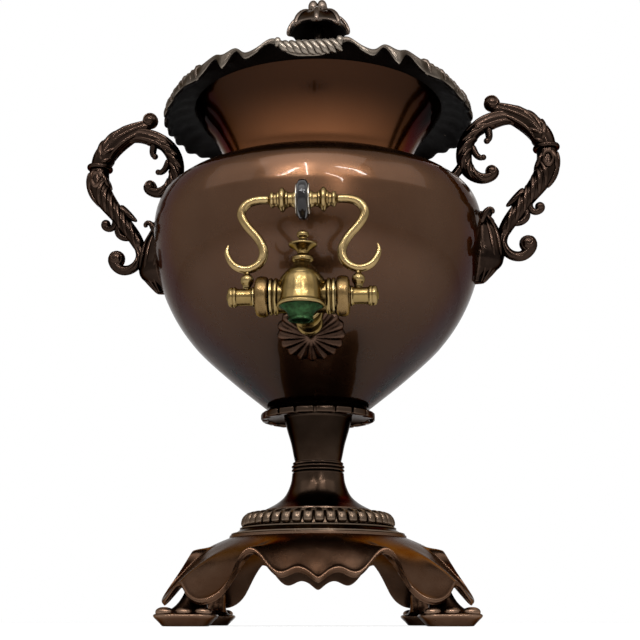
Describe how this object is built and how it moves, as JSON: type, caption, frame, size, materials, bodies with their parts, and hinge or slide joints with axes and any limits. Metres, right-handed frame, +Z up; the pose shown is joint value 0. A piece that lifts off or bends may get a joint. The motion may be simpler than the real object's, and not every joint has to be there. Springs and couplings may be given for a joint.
{
  "type": "tea urn",
  "caption": "Copper tea urn on a draped cast plinth, with scroll handles, a lift-off lid, a slug heater and a brass tap turned by a bail.",
  "frame": {"origin": "on the urn's axis, on the table the feet stand on", "axes": "+Z up along the urn's axis; -Y towards the tap; the handles are on +X and -X"},
  "size_m": [0.3328, 0.2885, 0.44],
  "materials": {
    "bronze_skirt": "satin bronzed copper alloy",
    "bronze_stem": "bronzed copper",
    "copper_body": "polished dark bronzed copper",
    "bronze_cast": "dark cast bronze with rubbed edges",
    "tap_brass": "aged brass",
    "disc_bronze": "dull dark brass",
    "black_disc": "polished black",
    "tinned_copper": "tinned",
    "iron": "rough",
    "steel": "dull steel"
  },
  "bodies": {
    "urn": {"plinth": "bronze_skirt", "foot_front_left": "bronze_skirt", "foot_front_right": "bronze_skirt", "foot_back_left": "bronze_skirt", "foot_back_right": "bronze_skirt", "gadroon_dome": "bronze_stem", "stem_lower": "bronze_stem", "stem_upper": "bronze_stem", "collar": "bronze_stem", "bowl": "copper_body", "neck": "copper_body", "rim_border": "bronze_cast", "handle_left": "bronze_cast", "handle_right": "bronze_cast", "handle_plate_left": "bronze_cast", "handle_plate_right": "bronze_cast", "tap_rosette": "tap_brass", "tap_tail": "tap_brass", "tap_body": "tap_brass", "tap_nozzle": "tap_brass", "tap_finial": "tap_brass", "tap_locknut": "tap_brass", "heater_tube": "tinned_copper", "handle_rivets_left": "tinned_copper", "handle_rivets_right": "tinned_copper", "tap_washer": "tinned_copper", "tie_rod": "steel", "tie_washer": "steel", "tie_nut": "steel", "foot_screws": "steel"},
    "lid": {"lid": "copper_body", "lid_finial": "bronze_cast", "finial_nut": "steel"},
    "heater_cap": {"heater_cap": "tinned_copper"},
    "slug": {"iron_slug": "iron", "slug_ring": "iron"},
    "tap_plug": {"tap_plug": "tap_brass", "plug_disc_left": "disc_bronze", "plug_disc_right": "disc_bronze", "spindle_left": "tap_brass", "spindle_right": "tap_brass", "bail_ball_left": "tap_brass", "bail_ball_right": "tap_brass", "bail_arm_left": "tap_brass", "bail_arm_right": "tap_brass", "grip_left": "tap_brass", "grip_right": "tap_brass", "grip_disc": "black_disc", "grip_washers": "tap_brass"}
  },
  "joints": [
    {"name": "tap_turn", "type": "hinge", "parent": "urn", "child": "tap_plug", "pos_m": [0, -0.15, 0.178], "axis": [1, 0, 0], "range_deg": [0, 90]},
    {"name": "lid_lift", "type": "slide", "parent": "urn", "child": "lid", "axis": [0, 0, 1], "range_m": [0, 0.3]},
    {"name": "heater_cap_lift", "type": "slide", "parent": "urn", "child": "heater_cap", "axis": [0, 0, 1], "range_m": [0, 0.2]},
    {"name": "slug_lift", "type": "slide", "parent": "urn", "child": "slug", "axis": [0, 0, 1], "range_m": [0, 0.1]}
  ],
  "couplings": [
    {"joint": "heater_cap_lift", "follows": "lid_lift", "ratio": 0.6667},
    {"joint": "slug_lift", "follows": "lid_lift", "ratio": 0.3333}
  ]
}
